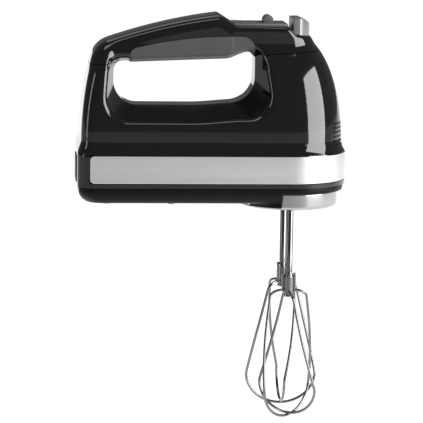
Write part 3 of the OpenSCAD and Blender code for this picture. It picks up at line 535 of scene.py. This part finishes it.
def panel(work, wanted, name, mat, body, replaces, thick=1.6):
    """The wanted faces as a shell of their own, with real thickness."""
    part = work.copy()
    part.faces.ensure_lookup_table()
    drop = [f for f in part.faces if not wanted(f.calc_center_median())]
    bmesh.ops.delete(part, geom=drop, context="FACES")
    mesh = bpy.data.meshes.new(name)
    for v in part.verts:
        v.co = Vector(v.co) * MM + ORIGIN
    part.to_mesh(mesh)
    part.free()
    mesh.shade_smooth()
    made = bpy.data.objects.new(name, mesh)
    bpy.context.scene.collection.objects.link(made)
    mesh.materials.append(mat)
    shell = made.modifiers.new("wall", "SOLIDIFY")
    shell.thickness = thick * MM
    shell.offset = -1
    settle(made, 50)
    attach(made, body)
    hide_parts(*replaces)
    return made


def cut_shells(work):
    """All the joint lines between the moulded pieces."""
    along = Vector((1, 0, SEAM_SLOPE)).normalized()
    up = Vector((-along.z, 0, along.x))
    for side in (-GAP, GAP):
        slice_at(work, Vector((SEAM_X, 0, SEAM_Z + side)), up)
    for z in (SHELL_FOOT, BAND_LOW - BAND_GAP, BAND_TOP + BAND_GAP):
        slice_at(work, Vector((0, 0, z)), Vector((0, 0, 1)),
                 lambda c, z=z: abs(c.z - z) < 6)
    slice_at(work, Vector((BAND_REAR - BAND_GAP, 0, 0)), Vector((1, 0, 0)),
             lambda c: c.z < BAND_TOP + 4 and c.x < BAND_REAR + 6)
    for x in GRIP_ENDS:
        slice_at(work, Vector((x, 0, 0)), Vector((1, 0, 0)),
                 lambda c, x=x: abs(c.x - x) < 6 and c.z > OPEN_TOP - 12)
    # the arch is cut in short straight steps, closer together round its corners
    stops = np.concatenate([GRIP_LEFT + ROUND_START * np.array([0, 0.08, 0.3, 0.6]),
                            np.linspace(GRIP_LEFT + ROUND_START, GRIP_ENDS[1] - ROUND_END, 14),
                            GRIP_ENDS[1] - ROUND_END * np.array([0.7, 0.4, 0.2, 0.06, 0])])
    for a, b in zip(stops[:-1], stops[1:]):
        za, zb = float(grip_edge(a)), float(grip_edge(b))
        way = Vector((b - a, 0, zb - za)).normalized()
        for side in (-GAP, GAP):
            slice_at(work, Vector((a, 0, za + side)), Vector((-way.z, 0, way.x)),
                     lambda c, a=a, b=b: a - 1.6 < c.x < b + 1.6 and c.z > OPEN_TOP - 2)


def in_grip(c, grow):
    return (GRIP_ENDS[0] - grow < c.x < GRIP_ENDS[1] + grow and c.z > OPEN_TOP - 6
            and c.z < float(grip_edge(c.x)) + grow)


def in_band(c):
    return c.x > BAND_REAR - BAND_GAP and BAND_LOW - BAND_GAP < c.z < BAND_TOP + BAND_GAP


def make_shells(gloss, rubber):
    work = skin_mesh(body_field, (REAR - 3, -HALF - 3, 9), (HALF + 3, HALF + 3, PEAK + 3),
                     1.15)
    cut_shells(work)
    panel(work, lambda c: SHELL_FOOT < c.z < float(seam(c.x)) - GAP * 0.99 and not in_band(c)
          and not in_grip(c, 0.0), "housing_shell", gloss, "housing", ["main_housing"])
    panel(work, lambda c: c.z > float(seam(c.x)) + GAP * 0.99 and not in_grip(c, GAP * 0.99),
          "cover_shell", gloss, "housing", ["handle_cover"])
    panel(work, lambda c: in_grip(c, -GAP * 0.99), "grip_sleeve", rubber, "housing",
          ["soft_grip"], 2.2)
    work.free()


def make_vents(dark):
    """Rows of air slots on each side of the nose, just above the band, as dark insets: painted
    shade, near-black blocks a touch proud of the shell that stand for the shadowed inside of slots
    that are not cut.
    """
    columns, rows, tall, half = 6, 6, 1.9, 1.1
    first_angle, angle_step, first_rise, rise_step = 14, 4.7, 5, 3.2
    sunk, proud = -1.2, 0.06
    vertices, faces = [], []
    for side in (-1, 1):
        for column in range(columns):
            for row in range(rows):
                a = side * math.radians(first_angle + angle_step * column)
                low = BAND_TOP + first_rise + rise_step * row
                first = len(vertices)
                for z in (low, low + tall):
                    r = float(half_width(z))
                    for out, turn in ((sunk, -1), (proud, -1), (proud, 1), (sunk, 1)):
                        b = a + turn * half / r
                        vertices.append(((r + out) * math.cos(b), (r + out) * math.sin(b), z))
                faces += [tuple(first + k for k in f) for f in
                          ((3, 2, 1, 0), (4, 5, 6, 7), (0, 1, 5, 4), (1, 2, 6, 5), (2, 3, 7, 6),
                           (3, 0, 4, 7))]
    new_piece("vent_slots", vertices, faces, dark, "housing", ["main_housing"])


# ---- Base, band and collar

SKIRT_RADIUS, SKIRT_BORE = 39.6, 37.8     # the skirt that stands round the collar
SKIRT_REAR, SKIRT_TOP = -8, 7.3
RIM_CUT = 11.9                            # the base shell's open upper rim


def base_width(z):
    t = np.clip(1 - z / BASE_HEIGHT, 0, 1)
    return HALF - 1.4 - 6.1 * t ** 2.6


def base_field(x, y, z):
    reach = np.where(x > 0, np.hypot(np.maximum(x, 0), y), np.abs(y))
    rear = REAR + 1 + 6.2 * np.clip(1 - z / 9, 0, 1) ** 2
    solid = round_max(reach - base_width(z), rear - x, 11)
    solid = round_max(solid, -z, 1.6)
    solid = np.maximum(solid, z - 12.1)
    axis = np.hypot(x, y)
    skirt = round_max(np.maximum(axis - SKIRT_RADIUS, z - 9), -3.3 - z, 0.9)
    skirt = round_max(skirt, x - SKIRT_REAR, 0.9)
    solid = round_min(solid, skirt, 2.0)
    open_front = np.maximum(SKIRT_REAR - x, z - SKIRT_TOP)
    solid = round_max(solid, -open_front, 0.9)
    return np.maximum(solid, -np.maximum(axis - SKIRT_BORE, z - SKIRT_TOP))


def make_base(black):
    work = skin_mesh(base_field, (REAR - 2, -HALF - 2, -5), (HALF + 2, HALF + 2, 14),
                     0.95)
    slice_at(work, Vector((0, 0, RIM_CUT)), Vector((0, 0, 1)), lambda c: c.z > 8)
    panel(work, lambda c: c.z < RIM_CUT, "base_shell", black, "housing", ["lower_housing"],
          1.4)
    work.free()


def band_path(n=90):
    """Points and outward directions round the band, from one rear end to the other."""
    straight = np.linspace(BAND_REAR, 0, 60)
    # closer together at the end, where the corners are round
    straight = BAND_REAR + (straight - BAND_REAR) ** 1.6 / (-BAND_REAR) ** 0.6
    out = [((x, -HALF), (0, -1)) for x in straight[:-1]]
    for i in range(n + 1):
        a = -math.pi / 2 + math.pi * i / n
        out.append(((HALF * math.cos(a), HALF * math.sin(a)), (math.cos(a), math.sin(a))))
    out += [((x, HALF), (0, 1)) for x in straight[:-1][::-1]]
    return out


def make_band(steel, edge_metal):
    """The steel band: a flat brushed face between polished bevels."""
    middle, half = (BAND_LOW + BAND_TOP) / 2, (BAND_TOP - BAND_LOW) / 2
    corner, bevel = 3.0, 0.5
    section = [(-0.95, -1.0, 0), (-0.62, -1.0, 0), (-0.10, -1.0, bevel * 0.55), (0.0, -1.0, bevel),
               (0.0, 1.0, -bevel), (-0.10, 1.0, -bevel * 0.55), (-0.62, 1.0, 0), (-0.95, 1.0, 0)]
    path = band_path()
    vertices, uvs, s = [], [], 0.0
    last = path[0][0]
    for (x, y), (nx, ny) in path:
        s += math.hypot(x - last[0], y - last[1])
        last = (x, y)
        end = min(x - BAND_REAR, corner) if x < 0 else corner
        tall = half - corner + math.sqrt(max(0.0, corner ** 2 - (corner - end) ** 2))
        for out, side, rise in section:
            vertices.append((x + nx * out, y + ny * out, middle + side * tall + rise))
            uvs.append((s * MM, vertices[-1][2] * MM))
    n = len(section)
    faces = [(i * n + j, (i + 1) * n + j, (i + 1) * n + (j + 1) % n, i * n + (j + 1) % n)
             for i in range(len(path) - 1) for j in range(n)]
    faces += [tuple(range(n - 1, -1, -1)), tuple((len(path) - 1) * n + j for j in range(n))]
    band = new_piece("steel_band", vertices, faces, steel, "housing", ["trim_band"])
    band.data.materials.append(edge_metal)
    layer = band.data.uv_layers.new(name="grain")
    for face in band.data.polygons:
        heights = [uvs[v][1] for v in face.vertices]
        if len(face.vertices) == 4 and max(heights) - min(heights) < 0.005:
            face.material_index = 1
        for corner_index in face.loop_indices:
            layer.data[corner_index].uv = uvs[band.data.loops[corner_index].vertex_index]
    band.data.set_sharp_from_angle(angle=math.radians(14))


def make_collar(metal):
    r = 37.5
    low = -5.0
    outline = ([(4, low + 1.2), (31.5, low + 1.2), (32.4, low + 0.9), (33.2, low)]
               + arc(r - 3, low + 3, 3, 270, 360, 10) + [(r, 6.4)]
               + arc(r - 0.7, 6.5, 0.7, 0, 90, 4) + [(r - 2, 7.2), (r - 2, 0.5), (4, 0.5)])
    vertices, faces = lathe(outline, 160)
    made = new_piece("collar_ring", vertices, faces, metal, "housing", ["nose_collar"])
    for side in (-1, 1):
        work = bmesh.new()
        bmesh.ops.create_cone(work, cap_ends=True, segments=64, radius1=7.4 * MM,
                              radius2=7.4 * MM, depth=30 * MM)
        mesh = bpy.data.meshes.new("cutter")
        work.to_mesh(mesh)
        work.free()
        cutter = bpy.data.objects.new("cutter", mesh)
        cutter.location = Vector(place([0, side * BEATER_Y, -3]))
        bpy.context.scene.collection.objects.link(cutter)
        cut = made.modifiers.new("socket", "BOOLEAN")
        cut.object = cutter
        cut.operation = "DIFFERENCE"
        settle(made, 30)
        bpy.data.objects.remove(cutter)


# ---- Beaters

def box_mm(name):
    low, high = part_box(name)
    return (np.array(low) - np.array(ORIGIN)) / MM, (np.array(high) - np.array(ORIGIN)) / MM


CAGE_TWIST = 45.0     # degrees, from the cage's shoulder to its widest place
CAGE_LENGTH = 93
WIDEST = 0.735        # how far down the cage its widest place is
WIRE = 1.05           # radius
SHOULDER = 15.0       # radius where the wires turn down
CAGE = 26.8           # radius at the widest place
HUB = 3.9             # radius over the hub's ribs
RIB_PITCH, RIB_DEPTH = 0.68, 0.45
RISER_REACH = 4.35    # the wire ends' distance from the beater's axis
ROD = 2.5             # radius


def make_beater(side, body, start, chrome, satin_chrome):
    """One beater: two crossing wire loops, a ribbed hub and a rod."""
    suffix = body.split("_")[1]
    y0 = side * abs(BEATER_Y)
    foot, top = box_mm("beater_collar_" + suffix)[0][2], box_mm("beater_collar_" + suffix)[1][2]
    cage_foot = box_mm("beater_loop_a_" + suffix)[0][2] + 2 * WIRE
    stub = foot + 4.5
    widest = foot - WIDEST * CAGE_LENGTH

    def point(u, low):
        if u <= 0.3:
            s = u / 0.3 * math.pi / 2
            return 4.6 + (SHOULDER - 5.3) * math.sin(s), stub + 0.5 - 6 * (1 - math.cos(s))
        if u <= 1:
            s = (u - 0.3) / 0.7
            return (SHOULDER - 0.7 + (CAGE - SHOULDER + 0.7) * s,
                    stub - 5.5 - (stub - 5.5 - widest) * s)
        s = (u - 1) * math.pi / 2
        return CAGE * math.cos(s), widest - (widest - low) * math.sin(s)

    def wire(turn, low):
        path = []
        for way, us in ((0, np.linspace(0, 2, 110)), (180, np.linspace(2, 0, 110)[1:])):
            for u in us:
                r, z = point(u, low)
                a = math.radians(start + turn + way
                                 - side * CAGE_TWIST * min(1, max(0, u - 0.1) / 0.9))
                path.append((r * math.cos(a), y0 + r * math.sin(a), z))
        path = np.array(path)
        for _ in range(6):
            path[1:-1] = (path[:-2] + 2 * path[1:-1] + path[2:]) / 4
        return tube(path, WIRE)

    for loop, turn, lift in (("a", 0, 0), ("b", 90, 2 * WIRE + 0.1)):
        name = f"beater_loop_{loop}_{suffix}"
        vertices, faces = wire(turn, cage_foot - WIRE + lift)
        new_piece(f"wire_{loop}_{suffix}", vertices, faces, chrome, body, [name])
    r = HUB
    ribs = [(r - RIB_DEPTH * (k % 2), foot + 1.4 + RIB_PITCH * k)
            for k in range(int((top - foot - 3.4) / RIB_PITCH))]
    outline = ([(0.05, foot + 0.2), (2.0, foot + 0.2), (2.6, foot)]
               + arc(r - 0.7, foot + 0.7, 0.7, 270, 360, 5) + ribs
               + [(r - 1.4, top - 0.4), (r - 1.4, top), (0.05, top)])
    vertices, faces = lathe(outline, 64, (0, y0))
    vertices = [tuple(v) for v in vertices]
    faces = [tuple(f) for f in faces]
    # the four wire ends run up the hub's sides, held against its ribs
    for quarter in range(4):
        a = math.radians(start + 90 * quarter)
        x, y = RISER_REACH * math.cos(a), y0 + RISER_REACH * math.sin(a)
        rise = np.array([(x, y, z) for z in np.linspace(stub - 0.6, top - 1.0, 12)])
        more, others = tube(rise, WIRE)
        faces += [tuple(i + len(vertices) for i in f) for f in others]
        vertices += [tuple(v) for v in more]
    new_piece("hub_" + suffix, vertices, faces, satin_chrome, body,
              ["beater_collar_" + suffix])
    shaft_top = box_mm("beater_shaft_" + suffix)[1][2]
    outline = [(0.05, foot + 0.6), (ROD, foot + 0.6), (ROD, shaft_top - 0.6), (2.1, shaft_top),
               (0.05, shaft_top)]
    vertices, faces = lathe(outline, 48, (0, y0))
    made = new_piece("rod_" + suffix, vertices, faces, chrome, body,
                     ["beater_shaft_" + suffix])
    made.data.set_sharp_from_angle(angle=math.radians(35))


# ---- Materials for the whole object

gloss = gloss_black()
satin = satin_black()
base_black = satin_black("base_black", 900, 0.005, 0.14)
# near-black, low-shine material for the vent insets: painted shade for the dark inside of the slots
slot_shade_black = satin_black("slot_shade_black", 900, 0.002, 0.05)
rubber = soft_rubber()
steel = brushed_steel()
bevel_metal = bright_metal("polished_edge", (0.80, 0.80, 0.81), 0.12)
collar_metal = bright_metal("collar_metal", (0.50, 0.50, 0.505), 0.12)
chrome = bright_metal("chrome", (0.24, 0.24, 0.245), 0.09, scratches=420)
hub_chrome = bright_metal("hub_chrome", (0.26, 0.26, 0.265), 0.18, scratches=420)
button_silver = painted("button_silver", (0.30, 0.30, 0.305), 0.36, 0.08, 0.55)
panel_grey = painted("panel_grey", (0.19, 0.193, 0.20), 0.42, 0.08, 0.35)
knob_grey = painted("knob_grey", (0.16, 0.163, 0.17), 0.45, 0.05)
acetal = painted("acetal", (0.62, 0.60, 0.54), 0.5)
cast = bright_metal("cast_metal", (0.42, 0.43, 0.44), 0.45, scratches=90)
ground = bright_metal("ground_steel", (0.55, 0.55, 0.56), 0.28)
bronze = bright_metal("bronze", (0.50, 0.34, 0.16), 0.38)
copper = bright_metal("copper", (0.56, 0.26, 0.13), 0.32)
sheet = bright_metal("laminations", (0.28, 0.28, 0.29), 0.42)
board = painted("board", (0.015, 0.09, 0.045), 0.4)
carbon = painted("carbon", (0.03, 0.03, 0.032), 0.6)
smoked = painted("smoked_window", (0.006, 0.006, 0.007), 0.08)
BY_SLOT = {
    "black_gloss": gloss, "black_satin": satin, "brushed": steel, "polished": collar_metal,
    "grip_rubber": rubber, "panel_grey": panel_grey, "window": smoked, "key_grey": knob_grey,
    "satin_silver": button_silver, "natural_plastic": acetal, "spring_steel": ground,
    "chromed": chrome, "cast_grey": cast, "bronze": bronze, "copper": copper,
    "laminations": sheet, "board_green": board, "carbon": carbon,
}
for name, shape in frame["nodes"].items():
    shape.data.materials.clear()
    shape.data.materials.append(BY_SLOT[SLOT_OF[name]])

make_shells(gloss, rubber)
make_base(base_black)
make_vents(slot_shade_black)
make_band(steel, bevel_metal)
make_collar(collar_metal)
# the two cages are turned 45 degrees to each other, so that their wires pass between
make_beater(1, "beater_left", CAGE_TWIST, chrome, hub_chrome)
make_beater(-1, "beater_right", 45 - CAGE_TWIST, chrome, hub_chrome)
PANEL_RISE = 0.6 * MM
plate = refine("control_panel", panel_grey, 0.35)
plate.data.transform(Matrix.Translation((0, 0, PANEL_RISE)))
refine("speed_window", smoked, 0.15, 2)
refine("speed_up_button", knob_grey, 0.5)
refine("speed_down_button", knob_grey, 0.5)
refine("power_switch_knob", knob_grey, 0.6)
refine("eject_button", button_silver, 1.0, 4)
refine("heel_pad", rubber, 0.5)
refine("cord_swivel", satin, 0.5)
refine("housing_screws", ground, 0.2, 2)


# ---- Stage, light and camera

# emission strengths of the glowing floor, painted light: dim to the front and sides, full in the
# pool behind and to the right
FLOOR_GLOW_DIM, FLOOR_GLOW_BRIGHT = 0.34, 1.0
# Metres from the cages at rest down to the floor. It clears a beater that is drawn out by its
# own joint (44 mm), but not one that the ejector has also pushed down (50 mm in all).
PULL_ROOM = 0.047


def make_floor(height):
    mesh = bpy.data.meshes.new("floor")
    s = 14
    mesh.from_pydata([(-s, -s, height), (s, -s, height), (s, s, height), (-s, s, height)], [],
                     [(0, 1, 2, 3)])
    floor = bpy.data.objects.new("floor", mesh)
    bpy.context.scene.collection.objects.link(floor)
    mat, shader = material("pale_floor", Roughness=0.9, Specular_IOR_Level=0.1,
                           Base_Color=(0.30, 0.30, 0.30, 1))
    shader.inputs["Emission Color"].default_value = (1, 1, 1, 1)
    # The floor glows, a painted pool of light: it glows brightest under, behind and to the right of
    # the mixer, and dimmer elsewhere, where it reads greyer
    axes = node(mat, "ShaderNodeSeparateXYZ")
    link(mat, coordinates(mat), axes.inputs[0])
    right = sums(mat, "MAXIMUM", sums(mat, "SUBTRACT", axes.outputs["X"], 0.2), 0.0)
    forward = sums(mat, "MULTIPLY_ADD", right, 0.9, axes.outputs["Y"])
    front = ramp(mat, forward, 0.0, 1.0, -0.40, -0.18)
    left = sums(mat, "MULTIPLY", axes.outputs["X"], -1.0)
    across = sums(mat, "MAXIMUM", left, sums(mat, "MULTIPLY", axes.outputs["X"], 0.3))
    widening = sums(mat, "MULTIPLY_ADD", axes.outputs["Y"], -0.22, across)
    sides = ramp(mat, widening, 1.0, 0.0, 0.30, 0.75)
    floor_glow_pool = sums(mat, "MULTIPLY", front, sides)
    link(mat, ramp(mat, floor_glow_pool, FLOOR_GLOW_DIM, FLOOR_GLOW_BRIGHT), shader.inputs["Emission Strength"])
    mesh.materials.append(mat)


def softbox(name, centre, aim, size, power):
    data = bpy.data.lights.new(name, "AREA")
    data.shape = "RECTANGLE"
    data.size, data.size_y = size
    data.energy = power
    lamp = bpy.data.objects.new(name, data)
    lamp.location = centre
    lamp.rotation_euler = (Vector(aim) - Vector(centre)).to_track_quat("-Z", "Y").to_euler()
    bpy.context.scene.collection.objects.link(lamp)


cage_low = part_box("beater_loop_a_right")[0].z
make_floor(cage_low - PULL_ROOM)
middle = Vector(place([-60, 0, 60]))
softbox("top_box", middle + Vector((0.1, 0.9, 1.8)), middle, (1.6, 1.0), 5)
softbox("left_strip", middle + Vector((-1.9, -0.5, 0.5)), middle, (0.30, 1.4), 4)
softbox("right_box", middle + Vector((1.6, -0.95, 0.42)), middle + Vector((0.06, 0, 0)),
        (1.5, 1.5), 48)
softbox("front_fill", middle + Vector((-0.2, -0.9, 2.4)), middle, (1.6, 0.5), 6)

world = bpy.data.worlds.new("studio")
world.use_nodes = True
world.node_tree.nodes["Background"].inputs["Color"].default_value = (1, 1, 1, 1)
world.node_tree.nodes["Background"].inputs["Strength"].default_value = 0.12
bpy.context.scene.world = world
bpy.context.scene.view_settings.view_transform = "Standard"

AZIMUTH, ELEVATION, DISTANCE = math.radians(-5), math.radians(9), 1.8
VIEW_WIDTH = 0.320
ROLL = 0.9
camera_data = bpy.data.cameras.new("camera")
camera_data.sensor_width = 36
camera_data.lens = 36 * DISTANCE / VIEW_WIDTH
camera = bpy.data.objects.new("camera", camera_data)
bpy.context.scene.collection.objects.link(camera)
target = Vector(place([-57.4, 0, -11.4]))
back = Vector((math.sin(AZIMUTH) * math.cos(ELEVATION), -math.cos(AZIMUTH) * math.cos(ELEVATION),
               math.sin(ELEVATION)))
camera.location = target + back * DISTANCE
camera.rotation_euler = back.to_track_quat("Z", "Y").to_euler()
camera.rotation_euler.rotate_axis("Z", math.radians(ROLL))
bpy.context.scene.camera = camera
